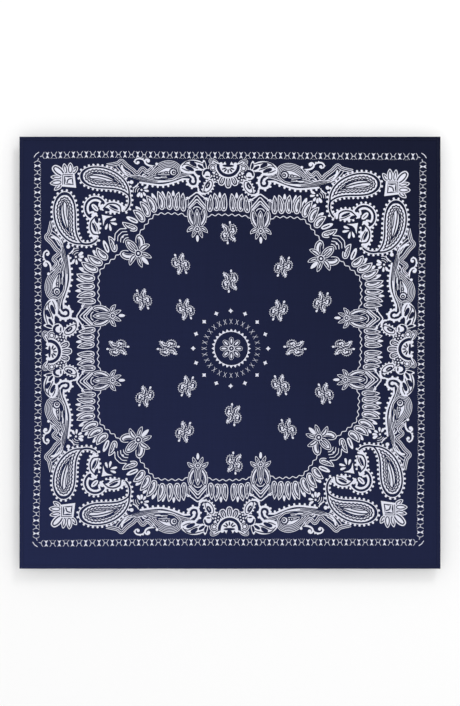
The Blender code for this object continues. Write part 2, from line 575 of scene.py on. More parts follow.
def long_stem():
    """Return the long stem from its hook to its end, with its beads and the navy lines along it."""
    out = []
    low = curve([(81, 345.5), (95, 346), (105, 342), (127, 334.5), (148, 331.8), (186, 336)])
    out += beads(low, 10.6, 3.0, 3.4, False, 8, 1.25)
    out.append((ribbon(low, 5.0), W))
    hook = curve([(76, 360), (66, 354), (63.5, 343), (66, 334), (74, 331), (82, 334), (84.5, 341)])
    out += beads(hook, 9.0, 3.1, 3.0, False, 8, 1.2)
    out.append((ribbon(hook, 6.0), W))
    out += rib([(100, 365), (112, 356), (125, 349), (140, 345), (158, 344), (176, 346), (190, 349)], 7, W)
    out += rib([(83, 351), (95, 350.2), (105, 346.4), (127, 338.2), (148, 335.6), (188, 340)],
               2.4, N, taper=(.4, 1, 1, 1, 1, .3))
    out += rib([(104, 361.5), (92, 362.5), (78, 360), (68, 347), (70.5, 337.4), (80.5, 339), (80.5, 346)],
               2.5, N, taper=(.4, .9, 1, 1.1, 1.1, 1, .8))
    main = curve([
        (73.8, 342.5), (74.6, 349), (84, 356), (102, 352.3), (125, 343.2),
        (158, 339.8), (200, 347.5), (221, 361), (224.5, 371),
    ])
    t = np.linspace(0, 1, len(main))
    w = np.interp(t, (0, .05, .15, .3, .5, .7, .85, 1), (6.5, 6.0, 8.8, 8.4, 7.0, 7.0, 11, 5))
    out.append((ribbon(main, w), W))
    lines = (  # shift to the left, and the two ends as shares of the stem
        (1.8, .06, .40), (-1.0, .10, .34), (1.4, .42, .93),
        (-1.4, .50, .90), (4.0, .60, .85), (-3.8, .66, .85),
    )
    for off, low, high in lines:
        part = (main + normals(main) * off)[int(low * len(main)):int(high * len(main))]
        thin = np.interp(np.linspace(0, 1, len(part)), (0, .2, .8, 1), (.3, .9, .9, .3))
        out.append((ribbon(part, thin), N))
    out.append((disc(73.8, 342.3, 4.6, 12), W))
    return out


def flame():
    """Return the flame over the stem: a blade with rings inset by 3.2 mm each, and two eyes."""
    axis = curve([(99, 361.5), (112, 363.5), (128, 363), (145, 358.5), (163, 352.5), (183, 349)])
    run = run_of(axis)
    t = shares(run[-1])
    body = blade(picked(axis, run, t * run[-1]), 22.5 * hump(t, 0.5, 1.05))
    out = [(body, W)]
    for ring in range(5):
        out += [(inset(body, 2.4 + 3.2 * ring), N), (inset(body, 3.2 + 3.2 * ring), W)]
    out += [(disc(116, 360, 8.6, 18), N), (disc(116, 360, 6.8, 16), W)]
    out += [(disc(115, 359.8, 3.8, 10), N), (disc(114.8, 359.6, 2.2, 8), W)]
    out.append((petal((116, 353), (130, 350.5), 6.5, -1, 0.5, 0.5), N))
    out += [(disc(131, 358.5, 3.4, 8), N), (disc(131.3, 358.7, 2.2, 8), W)]
    out += rib([(126, 361), (140, 359), (154, 353)], 1.0, N, taper=(.4, 1, .4))
    out += rib([(134, 352), (146, 351.5), (158, 349.5)], 1.2, N, taper=(.4, 1, .4))
    out += rib([(128, 345.5), (142, 344.5), (156, 345.5)], 1.0, N, taper=(.4, 1, .4))
    out += rib([(140, 349), (147, 346.5), (155, 347)], 3.0, W)
    for line, width in (
        ([(150, 376), (159, 366), (180, 352)], 2.8),
        ([(158, 373.5), (165, 364), (177, 357.5)], 2.2),
    ):
        out += rib(line, width + 2.2, N) + rib(line, width, W)
    out.append((disc(151, 377, 3.6, 12), W))
    out.append((disc(178, 351, 4.6, 14), W))
    out += rib([(170, 353), (175, 352.5), (179, 350)], 1.2, N, taper=(.4, 1, .5))
    return out


def zigzag():
    """Return a jagged triple line over the stem, and the sprays that fan out from the stem's end."""
    path = curve([
        (159, 369), (171, 359.5), (181, 366.5), (192, 354.5), (201, 362.4),
        (213, 371), (225, 382), (234, 376), (256, 371),
    ])
    out = [(ribbon(path + normals(path) * off, 2.5), W) for off in (-3.6, 0.2, 3.4)]
    for start, bow, bend, end, width in (
        ((196, 349.5), (212, 353), (224, 362), (231, 373), 2.7),
        ((204, 347), (219, 352), (230, 361), (238, 371), 2.5),
        ((212, 345.5), (224, 350), (235, 359.5), (246, 368), 2.4),
    ):
        out += rib([start, bow, bend, end], width)
    return out


def hooks():
    """Return the two hooks that curl away from the flame, with a bead in each."""
    out = rib([(155, 373), (166, 372.8), (174, 377), (176, 383), (171.5, 387), (166.5, 385)],
              5.0, taper=(.3, .9, 1, 1, .9, .7))
    out.append((disc(169, 383.2, 4.4, 12), W))
    out += rib([(176, 380), (181, 386), (190, 387.5), (196.5, 384), (196.3, 378), (191, 375.5)],
               4.4, taper=(.5, .9, 1, 1, .9, .7))
    out.append((disc(190.3, 379, 3.8, 12), W))
    out += [(disc(180, 387.5, 2.2), W), (disc(186, 389, 2.2), W), (disc(198.5, 381, 2.0), W)]
    return out


def leaf_bundle():
    """Return the broad leaf with its navy lines and the small one across its foot."""
    out = nest(petal((102, 366), (49, 373), 31, -3.5, 0.5, 0.5), (0, W))
    out += nest(petal((46, 359), (51, 389), 11.5, -1.5, 0.5, 0.6), (0, W))
    out.append((petal((47.5, 370.5), (50.5, 383.5), 4.6, -1, 0.5, 0.5), N))
    for root, tip, width, bend in (((52, 369), (64, 377), 5.0, 0.3), ((55, 363), (69.5, 362.2), 4.6, 0),
                                   ((67, 373.5), (81, 381.3), 7.4, 1.8), ((72, 364.5), (90, 372), 7.4, 0.6)):
        out.append((petal(root, tip, width, bend, 0.6, 0.5), N))
    out += rib([(54, 380), (64, 383), (76, 385), (88, 383), (97, 374)], 1.4, N, taper=(.3, 1, 1, 1, .6))
    out += rib([(64, 369), (74, 372.5), (86, 378), (92, 377)], 1.2, N, taper=(.5, 1, 1, .5))
    out += rib([(82, 363.5), (90, 365.5), (97, 369)], 1.2, N, taper=(.5, 1, .5))
    return out


def little_flowers():
    """Return the small round flowers between the leaf and the middle of the side."""
    out = []
    ear = petal((19, 371), (41, 388.5), 17, 1.5, 0.5, 0.5)
    out += nest(ear, (0, W), (2.2, N), (2.9, W), (5.0, N), (5.7, W))
    out += [(disc(32, 371, 11.0, 18), W), (disc(43.5, 359, 12.0, 18), W)]
    out += [(disc(23, 352, 12.2, 18), W), (disc(31, 360, 10, 14), W)]
    out += rib(disc(32, 371.5, 7.6, 16), 1.0, N, closed=True)
    out += rib(disc(32, 371.5, 4.4, 12), 0.8, N, closed=True)
    out += rib([(35.5, 357.5), (37.5, 363.4), (43.5, 366.6), (49.5, 363.4), (51.5, 357.5)],
               4.2, N, taper=(.6, .9, 1.1, .9, .6))
    out.append((disc(43.5, 357.8, 4.8, 12), W))
    out.append((petal((40, 353), (47.5, 352.5), 2.2, 0, 0.5, 0.5), N))
    out += rib([(33.5, 366), (34.5, 359), (38.5, 351.5)], 1.0, N, taper=(.5, 1, .5))
    # This is a small blossom with six petals.
    for k in range(6):
        a = np.radians(60 * k + 20)
        out += rib(disc(23 + 6.6 * np.cos(a), 351.5 + 6.6 * np.sin(a), 3.0, 8), 1.0, N, closed=True)
    out += [(disc(23, 351.5, 3.4, 10), N), (disc(23, 351.5, 2.3, 10), W)]
    for u, v, r in ((24.5, 361.8, 2.2), (33, 358, 2.0), (33.8, 350, 2.0)):
        out.append((disc(u, v, r, 8), N))
    return out


def half_flower():
    """Return half a flower at the middle of a side: three petals round half rings, and its foot."""
    out = []

    def fan(r, a0=180, a1=360):
        angle = np.radians(np.linspace(a0, a1, 24))
        return np.stack([r * np.cos(angle), 377.0 + r * np.sin(angle)], 1)
    for angle, length in ((248.5, 46.0), (291.5, 46.0), (270, 48.5)):
        a = np.radians(angle)
        tip = np.array([length * np.cos(a), 377 + length * np.sin(a)])
        root = np.array([21 * np.cos(a), 377 + 21 * np.sin(a)])
        out += nest(petal(root, tip, 16, 0, 0.5, 0.4), (0, W), (3.2, N), (4.6, W))
        out += veins(root, tip, 0, (0, 0.35, 0.8, 1.0))
    out.append((ccw(fan(28.0)), W))
    out.append((ccw(fan(24.0)), N))
    out.append((ccw(fan(18.6, 178, 362)), W))
    for angle in (205, 235, 270, 305, 335):
        a = np.radians(angle)
        root, tip = (5 * np.cos(a), 374 + 5 * np.sin(a)), (14 * np.cos(a), 374 + 13 * np.sin(a))
        out.append((petal(root, tip, 2.2, 0, 0.5, 0.5, 4), N))
    for side in (-1, 1):
        out.append((polygon([(2.5 * side, 377), (13 * side, 377), (6.8 * side, 386)]), W))
        out.append((disc(15 * side, 380, 4.4, 12), W))
        out += rib([(18 * side, 380), (24 * side, 382), (30 * side, 385)], 4.4)
        out += rib([(19 * side, 378.2), (24.5 * side, 380), (30 * side, 383.2)], 1.0, N)
    out.append((petal((-11.5, 376.5), (11.5, 376.5), 4.2, 0, 0.5, 0.5), N))
    return out


def drop():
    """Return a drop with a bead edge, and the curl at its tip."""
    body = petal((36, 348.5), (54, 317), 21, -3.5, 0.5, 0.6)
    out = beads(body, 7.2, 2.3, 0.6, True, 7)
    out.append((body, W))
    out += rib([(46, 321), (54, 317.5), (61, 320.5), (63, 327.5)], 7.0, taper=(1, 1.1, 1, .6))
    out += nest(body, (0, W), (3.4, N), (4.2, W))
    out.append((petal((39.5, 341), (46, 328.5), 6.4, -0.6, 0.5, 0.5), N))
    out += rib([(41.5, 337), (44.5, 332)], 2.3, step=6)
    out += rib([(48, 321.5), (54.5, 320), (60, 323.5)], 1.2, N, taper=(.5, 1, .5))
    return out


def half_daisy():
    """Return half a daisy and the bows that ring it."""
    out = [(disc(183, 320, 2.8, 10), W)]
    for root, tip, width in (
        ((185.5, 316), (192, 304.5), 7.6), ((183, 315), (183, 303), 6.6), ((180, 316.5), (174.5, 307), 6.2),
        ((179, 319.5), (167, 318), 6.0), ((179.5, 322.5), (169, 328), 6.6),
    ):
        out.append((petal(root, tip, width, 0, 0.7, 0.45), W))
    for r in (8.5, 13.0, 17.5):
        a = np.radians(np.linspace(-5, 62, 8))
        out += rib(np.stack([183 + r * np.cos(a), 316 + r * np.sin(a)], 1), 2.3)
    out += rib([(190, 334), (193, 328), (201, 324)], 3.2)
    out += [(disc(204, 336, 4.6, 12), W)]
    return out


def veins(root, tip, bend, *lines):
    """Return navy lines in a leaf: each has a shift to the left, two ends as shares, and a width."""
    root, tip = np.array(root, float), np.array(tip, float)
    side = np.array([root[1] - tip[1], tip[0] - root[0]]) / np.hypot(*(tip - root))
    out = []
    for shift, low, high, width in lines:
        start, end = (root + (tip - root) * share + side * shift for share in (low, high))
        out.append((petal(start, end, width, bend * (high - low) ** 2, 0.5, 0.5, 4), N))
    return out


def border_motifs():
    """Return all the motifs of one eighth of the print, less its chain."""
    out = []
    for part in (
        leaf_band, arch, wavy_line, side_pendant, corner_pendant, half_daisy, long_stem, flame, zigzag,
        hooks, leaf_bundle, little_flowers, drop, great_paisley, corner_ring, arrow_and_fan, corner_flower,
    ):
        out += part()
    return out


def placed(shapes, across, along, turn):
    """Turn shapes about their own middle and carry them to a place."""
    a = np.radians(turn)
    spin = np.array([[np.cos(a), np.sin(a)], [-np.sin(a), np.cos(a)]])
    return [(points @ spin + (across, along), shade) for points, shade in shapes]


def curled_leaf():
    """Return a curled leaf with a bead edge: a stroke whose width swells and shrinks."""
    axis = curve([
        (-3.6, -15.5), (-8.4, -10.8), (-9.0, -4.5), (-4.4, 1.5), (-4.6, 8.0), (-8.6, 12.2), (-13.0, 17.0),
    ], step=1.5)
    t = np.linspace(0, 1, len(axis))
    width = np.interp(t, (0, .1, .28, .45, .6, .78, .92, 1), (4, 12, 15.5, 14, 11, 10, 8, 3.5))
    leaf = ribbon(axis, width)
    out = beads(leaf, 4.6, 1.3, 0.3, True, 6)
    out += [(leaf, W), (inset(leaf, 2.1), N), (inset(leaf, 3.1), W)]
    out.append((disc(-11.2, 13.2, 3.2, 9), W))
    out += rib([(-12.6, -5.0), (-11, -10.5), (-6.6, -10.4), (-5.2, -5.4), (-8.4, -3.6)], 1.1, N)
    out += rib([(-6.5, -0.5), (-2.6, 4.5), (-3.4, 10.0)], 1.0, N)
    return out


def rosette():
    """Return two curled leaves back to back, each the other turned half round, and a drop at either end."""
    half = curled_leaf()
    out = half + placed(half, 0, 0, 180)
    out += rib([(-1.6, 10), (-1.2, 4), (1.2, -4), (1.6, -10)], 0.9, N, taper=(.5, 1, 1, .5))
    for side in (-1, 1):
        out.append((petal((2.0 * side, 17.2 * side), (2.6 * side, 24.8 * side), 5.3, 0, 0.6, 0.5), W))
    return out


RINGS = (
    # across, along, turn in degrees, shift across: the one in the upper right, in mm
    (0, 139, 0, 2), (0, 240, 0, 2), (132, 0, 90, 2), (235, 0, 90, 0),
    (97, 79, -26, 5), (107, 172, -26, 7), (187, 98, -26, 6),
)
LEAN = 0.024  # the field leans to the left by this share of its height
TAPER = 0.00016  # the field is this share taller for each mm to the left
FIELD_RISE = 2.2  # the field sits this much above the middle of the print, mm


def field_rosettes():
    """Return the rosettes of the field: rings of two or four, each mirrored across both axes."""
    out = []
    upright = rosette()
    mirrored = [(points[::-1] * (-1, 1), shade) for points, shade in upright]
    for across, along, turn, shift in RINGS:
        for side in (1, -1) if across else (1,):
            for end in (1, -1) if along else (1,):
                u = side * across + shift - LEAN * end * along
                v = end * along * (1 - TAPER * side * across) + FIELD_RISE
                shapes = upright if side * end > 0 else mirrored
                out += placed(shapes, u, v, turn * side * end)
    return out


def centre_medallion():
    """Return the toothed ring in the middle, with crosses and diamonds round it."""
    out = [(star(0, 0, 28, 41.5, 36.0), W), (disc(0, 0, 34.2, 72), N)]
    for k in range(8):
        a = np.radians(45 * k)
        tip = (24.5 * np.cos(a), 24.5 * np.sin(a))
        root = (5.5 * np.cos(a), 5.5 * np.sin(a))
        out += nest(petal(root, tip, 11.5, 0, 0.6, 0.5), (0, W), (1.9, N), (3.2, W))
    out += [(disc(0, 0, 7.4, 20), W), (disc(0, 0, 4.6, 14), N), (disc(0, 0, 2.3, 10), W)]
    for k in range(28):
        a = np.radians(360 / 28 * k)
        for lean in (-28, 28):
            b = np.radians(lean)
            d = np.array([np.cos(a + b), np.sin(a + b)]) * 5.6
            c = np.array([np.cos(a), np.sin(a)]) * 56.0
            out.append((ribbon(np.array([c - d, c, c + d]), 1.9), W))
    for k in range(16):
        a = np.radians(22.5 * k)
        out.append((star(78.1 * np.cos(a), 78.1 * np.sin(a), 4, 5.6, 3.4, 22.5 * k), W))
    return out


# ---------------------------------------------------------------- the whole print

PRINT_MIDDLE = (1.3, 7.9)  # where the print's middle lies on the cloth, mm
INK_SHRINK = 0.61  # the dye creeps this far in under each white edge, mm
FLATNESS = 0.10  # an outline point this near to its line is left out, mm
LONGEST = 9.0  # no outline edge grows longer than this by that, mm


def eight_times(shapes):
    """Return one eighth of the print turned and mirrored into all eight places."""
    turned = []
    for swap in (False, True):
        for across in (1, -1):
            for along in (1, -1):
                flips = swap ^ (across < 0) ^ (along < 0)
                for outline, shade in shapes:
                    points = outline[::-1] if flips else outline
                    points = points[:, ::-1] if swap else points
                    turned.append((points * (across, along), shade))
    return turned


#        across  along  reach  shift across  shift along, all in mm
PULLS = (
    (-255, 285, 190, 0.0, 12.0),
    (350, 190, 150, 2.0, -8.5),
    (-365, -5, 80, 1.5, -7.5),
    (355, -240, 190, -7.0, 3.5),
    (190, -260, 140, -1.5, 4.5),
    (0, 350, 130, -3.0, 3.0),
    (0, 0, 110, 4.0, 0.0),
    (-345, 345, 75, 2.4, 4.2),
)
CHAIN_PULLS = (
    (0, 400, 230, -5.0, 2.5),
    (400, 0, 230, -4.5, -3.5),
    (-400, 0, 230, 1.5, -9.0),
    (400, -400, 200, -6.0, 0.0),
    (-400, -400, 160, -3.0, -2.0),
    (-280, 400, 150, 0.0, 4.2),
)


def pulled(points, pulls, drift):
    """Shift points by soft pulls: shift times e to the minus squared distance over reach."""
    moved = points + drift
    for across, along, reach, shift_across, shift_along in pulls:
        off = points - (across, along)
        share = np.exp(-np.sum(off**2, axis=1) / reach**2)
        moved = moved + share[:, None] * (shift_across, shift_along)
    return moved


def thinned(outline):
    """Leave out every second point that lies nearer than FLATNESS to the line past it, twice over."""
    for start in (1, 0):
        before, after = np.roll(outline, 1, 0), np.roll(outline, -1, 0)
        chord, off = after - before, outline - before
        length = np.maximum(np.hypot(*chord.T), 1e-6)
        height = np.abs(chord[:, 0] * off[:, 1] - chord[:, 1] * off[:, 0]) / length
        spare = (height < FLATNESS) & (length < LONGEST)
        spare &= np.arange(len(outline)) % 2 == start
        if len(outline) - spare.sum() >= 6:
            outline = outline[~spare]
    return outline


def whole_print():
    """Return every shape of the print in cloth millimetres, in painting order."""
    shapes = []
    for outline, shade in eight_times(chain_border()):
        shapes.append((pulled(outline, CHAIN_PULLS, (-0.5, -1.0)), shade))
    motifs = centre_medallion() + eight_times(border_motifs()) + eight_times(half_flower())
    for outline, shade in motifs:
        shapes.append((pulled(outline, PULLS, (-2.2, 0.6)), shade))
    shapes += field_rosettes()
    return [
        (thinned(inset(outline, INK_SHRINK if shade else -INK_SHRINK)) + PRINT_MIDDLE, shade)
        for outline, shade in shapes
    ]

# ---------------------------------------------------------------- mesh helpers


def new_piece(name, points, face_groups, material, smooth=True):
    """Link a mesh of points and groups of faces, with one material, as a piece at the origin."""
    mesh = bpy.data.meshes.new(name)
    faces = [face for group in face_groups for face in np.asarray(group).tolist()]
    mesh.from_pydata(points.tolist(), [], faces)
    mesh.validate()
    mesh.materials.append(material)
    if smooth:
        mesh.shade_smooth()
    if len(mesh.polygons) != len(faces):
        raise RuntimeError("the mesh of " + name + " lost faces")
    piece = bpy.data.objects.new(name, mesh)
    bpy.context.scene.collection.objects.link(piece)
    return piece


def tube_faces(rows, columns):
    """Return the quads of a tube whose rings of points are laid out row after row."""
    row, column = np.meshgrid(np.arange(rows - 1), np.arange(columns), indexing="ij")
    after = (column + 1) % columns
    quads = np.stack(
        [row * columns + column, row * columns + after,
         (row + 1) * columns + after, (row + 1) * columns + column], axis=-1)
    return quads.reshape(-1, 4)


# ---------------------------------------------------------------- cloth with its print

SWELLS = (
    # across, along, heading in degrees, half length, half width, height
    (-0.62, 0.55, 38.0, 0.170, 0.050, 0.00045),
    (0.50, 0.66, -24.0, 0.150, 0.045, 0.00035),
    (0.10, 0.08, 8.0, 0.210, 0.060, 0.00040),
    (-0.46, -0.42, -52.0, 0.140, 0.055, 0.00038),
    (0.66, -0.18, 76.0, 0.160, 0.040, 0.00042),
    (0.22, -0.70, 14.0, 0.180, 0.048, 0.00034),
    (-0.80, -0.78, 44.0, 0.090, 0.036, 0.00030),
)
FLAT_RIM = 0.030  # the swells fade out over this distance from the hems
CELL = 11.0  # side of the plain cloth's grid, mm
UNDER_CELL = 22.0  # side of the underside's grid, mm
CLEAR_OF_INK = 1.6  # the plain grid's points keep about this far from the print's edges, mm
UNDERSIDE_LIFT = 0.0001  # height of the cloth's underside over the floor


def smooth_step(share):
    """Return 0 below 0, 1 above 1 and a soft rise between."""
    share = np.clip(share, 0.0, 1.0)
    return share * share * (3.0 - 2.0 * share)


def swell_height(x, y, half_width, half_length):
    """Sum each swell: its height times e to the minus squared distances along and across it."""
    height = np.zeros_like(x)
    for across, along, heading, reach, spread, rise in SWELLS:
        turn = math.radians(heading)
        dx = x - across * half_width
        dy = y - along * half_length
        on_line = dx * math.cos(turn) + dy * math.sin(turn)
        off_line = dy * math.cos(turn) - dx * math.sin(turn)
        height += rise * np.exp(-((on_line / reach) ** 2) - (off_line / spread) ** 2)
    to_edge = np.minimum(half_width - np.abs(x), half_length - np.abs(y))
    return height * smooth_step(to_edge / FLAT_RIM)


def winding_at(points, outline):
    """Return how often an outline runs round each point.

    Each of its edges that passes to the right of the point, from below its level
    to above it, counts one up, and each that passes downwards one down.
    """
    x, y = points[:, :1], points[:, 1:]
    ax, ay = outline.T
    bx, by = np.roll(outline, -1, axis=0).T
    side = (bx - ax) * (y - ay) - (x - ax) * (by - ay)
    climbs = (ay <= y) & (by > y) & (side > 0)
    falls = (ay > y) & (by <= y) & (side < 0)
    return climbs.sum(axis=1) - falls.sum(axis=1)


def ink_at(points, shapes):
    """Return the shade at each point: that of the last shape whose outline runs round it."""
    order = np.argsort(points[:, 0], kind="stable")
    in_order = points[order]
    shade_at = np.zeros(len(points), int)
    for outline, shade in shapes:
        low, high = outline.min(axis=0), outline.max(axis=0)
        first, last = np.searchsorted(in_order[:, 0], (low[0], high[0]))
        near = in_order[first:last]
        level = first + np.nonzero((near[:, 1] >= low[1]) & (near[:, 1] <= high[1]))[0]
        inside = winding_at(in_order[level], outline) > 0
        shade_at[level[inside]] = shade
    shades = np.empty(len(points), int)
    shades[order] = shade_at
    return shades


def triangulated(points, edges):
    """Return the points and triangles of a Delaunay triangulation that keeps every edge."""
    kept_points, _, triangles, _, _, _ = delaunay_2d_cdt(
        list(map(Vector, points.tolist())), edges.tolist(), [], 0, 1e-3, False)
    return np.array(list(map(tuple, kept_points))), np.array(triangles)


def loop_edges(count, first=0):
    """Return the edges that join a run of points into a loop."""
    here = np.arange(count)
    return np.stack([here, (here + 1) % count], axis=1) + first


def rim_points(half_width, half_length):
    """Return points spaced evenly round a rectangle, anticlockwise."""
    across = np.linspace(-half_width, half_width, int(round(2 * half_width / CELL)) + 1)
    along = np.linspace(-half_length, half_length, int(round(2 * half_length / CELL)) + 1)
    sides = (
        np.stack([across, np.full_like(across, -half_length)], axis=1)[:-1],
        np.stack([np.full_like(along, half_width), along], axis=1)[:-1],
        np.stack([across[::-1], np.full_like(across, half_length)], axis=1)[:-1],
        np.stack([np.full_like(along, -half_width), along[::-1]], axis=1)[:-1],
    )
    return np.concatenate(sides)


def inner_grid(half_width, half_length, cell):
    """Return the points of a grid inside a rectangle, every other row half a cell on."""
    across = np.arange(-half_width + cell * 0.7, half_width - cell * 0.4, cell)
    along = np.arange(-half_length + cell * 0.7, half_length - cell * 0.4, cell * 0.87)
    x, y = np.meshgrid(across, along)
    x = x + (np.arange(len(along)) % 2)[:, None] * cell / 2
    points = np.stack([x.ravel(), y.ravel()], axis=1)
    return points[points[:, 0] < half_width - cell * 0.3]


def ink_edges(shapes):
    """Return the points and edges where the print's colour changes.

    All the outlines are triangulated together. An edge is kept if the triangles
    at its two sides differ in shade, or if it has a white one and nothing beyond.
    """
    outlines = [outline for outline, _ in shapes]
    counts = [len(outline) for outline in outlines]
    starts = np.concatenate([[0], np.cumsum(counts)[:-1]])
    edges = np.concatenate([loop_edges(count, first) for count, first in zip(counts, starts)])
    points, triangles = triangulated(np.concatenate(outlines), edges)
    shades = ink_at(points[triangles].mean(axis=1), shapes)
    sides = np.concatenate([triangles[:, [0, 1]], triangles[:, [1, 2]], triangles[:, [2, 0]]])
    owner = np.tile(shades, 3)
    sides = np.sort(sides, axis=1)
    order = np.lexsort((sides[:, 1], sides[:, 0]))
    sides, owner = sides[order], owner[order]
    paired = np.all(sides[1:] == sides[:-1], axis=1)
    differs = paired & (owner[1:] != owner[:-1])
    kept = sides[1:][differs]
    alone = np.concatenate([[True], ~paired]) & np.concatenate([~paired, [True]])
    kept = np.concatenate([kept, sides[alone & (owner == 1)]])
    used, renumbered = np.unique(kept, return_inverse=True)
    return points[used], renumbered.reshape(-1, 2)


def clear_of(points, others, distance):
    """Return the points that have none of the others in their own square cell or the eight round it."""
    width = 4096  # more cells than the cloth has across

    def cells(places, shift):
        numbers = np.floor(places / distance).astype(int) + width // 2
        return (numbers[:, 0] + shift[0]) * width + numbers[:, 1] + shift[1]
    taken = np.unique(np.concatenate(
        [cells(others, (a, b)) for a in (-1, 0, 1) for b in (-1, 0, 1)]))
    return points[~np.isin(cells(points, (0, 0)), taken)]


def mark_ink(mesh, ink):
    """Write each face's share of ink. Faces after the printed ones have none."""
    inked = np.zeros(len(mesh.polygons), np.float32)
    inked[:len(ink)] = ink
    mesh.attributes.new("ink", "FLOAT", "FACE").data.foreach_set("value", inked)


def lay_flat_map(mesh, points, sizes):
    """Give the mesh a map: its places across and along, as shares of the scarf's size."""
    corners = np.empty(len(mesh.loops), np.int32)
    mesh.loops.foreach_get("vertex_index", corners)
    shares_of_size = points[corners, :2] / (sizes.width, sizes.length) + 0.5
    flat_map = mesh.uv_layers.new(name="OFBake")
    flat_map.data.foreach_set("uv", shares_of_size.astype(np.float32).ravel())


def crease_rims(mesh, first_points, count):
    """Mark as sharp the edges within each run of count points that starts at a first point."""
    ends = np.empty(len(mesh.edges) * 2, np.int32)
    mesh.edges.foreach_get("vertices", ends)
    ends = ends.reshape(-1, 2)
    sharp = np.zeros(len(ends), bool)
    for first in first_points:
        sharp |= np.all((ends >= first) & (ends < first + count), axis=1)
    mesh.attributes.new("sharp_edge", "BOOLEAN", "EDGE").data.foreach_set("value", sharp)


def printed_cloth(sizes, material):
    """Make the sheet of cloth.

    Its face is a triangulation in which each edge between the two colours of the
    print is an edge of the mesh, over a grid that carries the swells. The height
    is the wall's plus the swells'. The underside is a coarser grid, and a rim of
    quads joins the two.
    """
    tuck = sizes.hem_width * 0.55  # the cloth ends this far in, inside the hems
    half = ((sizes.width / 2 - tuck) / MM, (sizes.length / 2 - tuck) / MM)
    shapes = whole_print()
    ink_points, ink_sides = ink_edges(shapes)
    rim = rim_points(*half)
    plain = clear_of(inner_grid(*half, CELL), ink_points, CLEAR_OF_INK)
    edges = np.concatenate([loop_edges(len(rim)), ink_sides + len(rim)])
    face_points, face_triangles = triangulated(np.concatenate([rim, ink_points, plain]), edges)
    ink = ink_at(face_points[face_triangles].mean(axis=1), shapes)
    under = np.concatenate([rim, inner_grid(*half, UNDER_CELL)])
    under_points, under_triangles = triangulated(under, loop_edges(len(rim)))
    for flat in (face_points, under_points):
        if not np.allclose(flat[:len(rim)], rim, atol=1e-3):
            raise RuntimeError("the cloth's rim wasn't kept")

    def lifted(flat, level):
        x, y = flat.T * MM
        swell = swell_height(
            x, y, sizes.width / 2 - sizes.hem_width, sizes.length / 2 - sizes.hem_width)
        return np.stack([x, y, level + swell], axis=1)

    top = lifted(face_points, sizes.cloth_thickness + UNDERSIDE_LIFT)
    points = np.concatenate([top, lifted(under_points, UNDERSIDE_LIFT)])
    here, after = loop_edges(len(rim)).T
    walls = np.stack([here, here + len(top), after + len(top), after], axis=1)
    groups = (face_triangles, under_triangles[:, ::-1] + len(top), walls)
    cloth = new_piece("scarf_cloth", points, groups, material)
    mark_ink(cloth.data, ink)
    lay_flat_map(cloth.data, points, sizes)
    crease_rims(cloth.data, (0, len(top)), len(rim))
    return cloth


# ---------------------------------------------------------------- hems and stitches

HEM_SIDES = (
    # name, quarter turns from the right-hand side
    ("right", 0),
    ("top", 1),
    ("left", 2),
    ("bottom", 3),
)
MITRE_GAP = 0.00002  # clear space between two hems at a corner
HEM_STEP = 0.0020  # spacing of the hem's sections
HEM_RING = 36  # points round a hem's section
HEM_LIFT = 0.00005  # height of a hem's underside over the floor
STITCH_INSET = 0.0060  # the stitches run this far in from the outer fold


def hem_height(depth, along, sizes, seed):
    """Return the hem's height over the floor at a depth in from its outer fold.

    The section is a flat oval with a soft crown, less a groove where the
    stitches run: e to the minus squared distance from them. Slow and quick
    waves along the hem pucker it.
    """
    share = np.clip(depth / sizes.hem_width, 0.0, 1.0)
    crown = np.sqrt(np.clip(1.0 - np.abs(2.0 * share - 1.0) ** 5, 0.0, 1.0))
    groove = 0.22 * np.exp(-(((depth - STITCH_INSET) / 0.0006) ** 2))
    pucker = 0.05 * np.sin(along / 0.0031 + seed) * np.sin(along / 0.0173 + 2.1 * seed)
    slow = 0.06 * np.sin(along / 0.043 + seed * 1.7)
    return sizes.hem_height * crown * (0.90 - groove + pucker + slow)


def quarter_turned(points, turns):
    """Turn points by quarter turns about the upright axis: for each, x and y become -y and x."""
    x, y, z = points.T
    for _ in range(turns):
        x, y = -y, x
    return np.stack([x, y, z], axis=1)


def side_reach(turns, sizes):
    """Return half the scarf's size along a side, and half its size across to that side."""
    halves = (sizes.length / 2, sizes.width / 2)
    return halves if turns % 2 == 0 else halves[::-1]


def hem_seed(turns):
    """Return the number that sets one side's waves apart from the others'."""
    return 1.3 * turns + 0.4


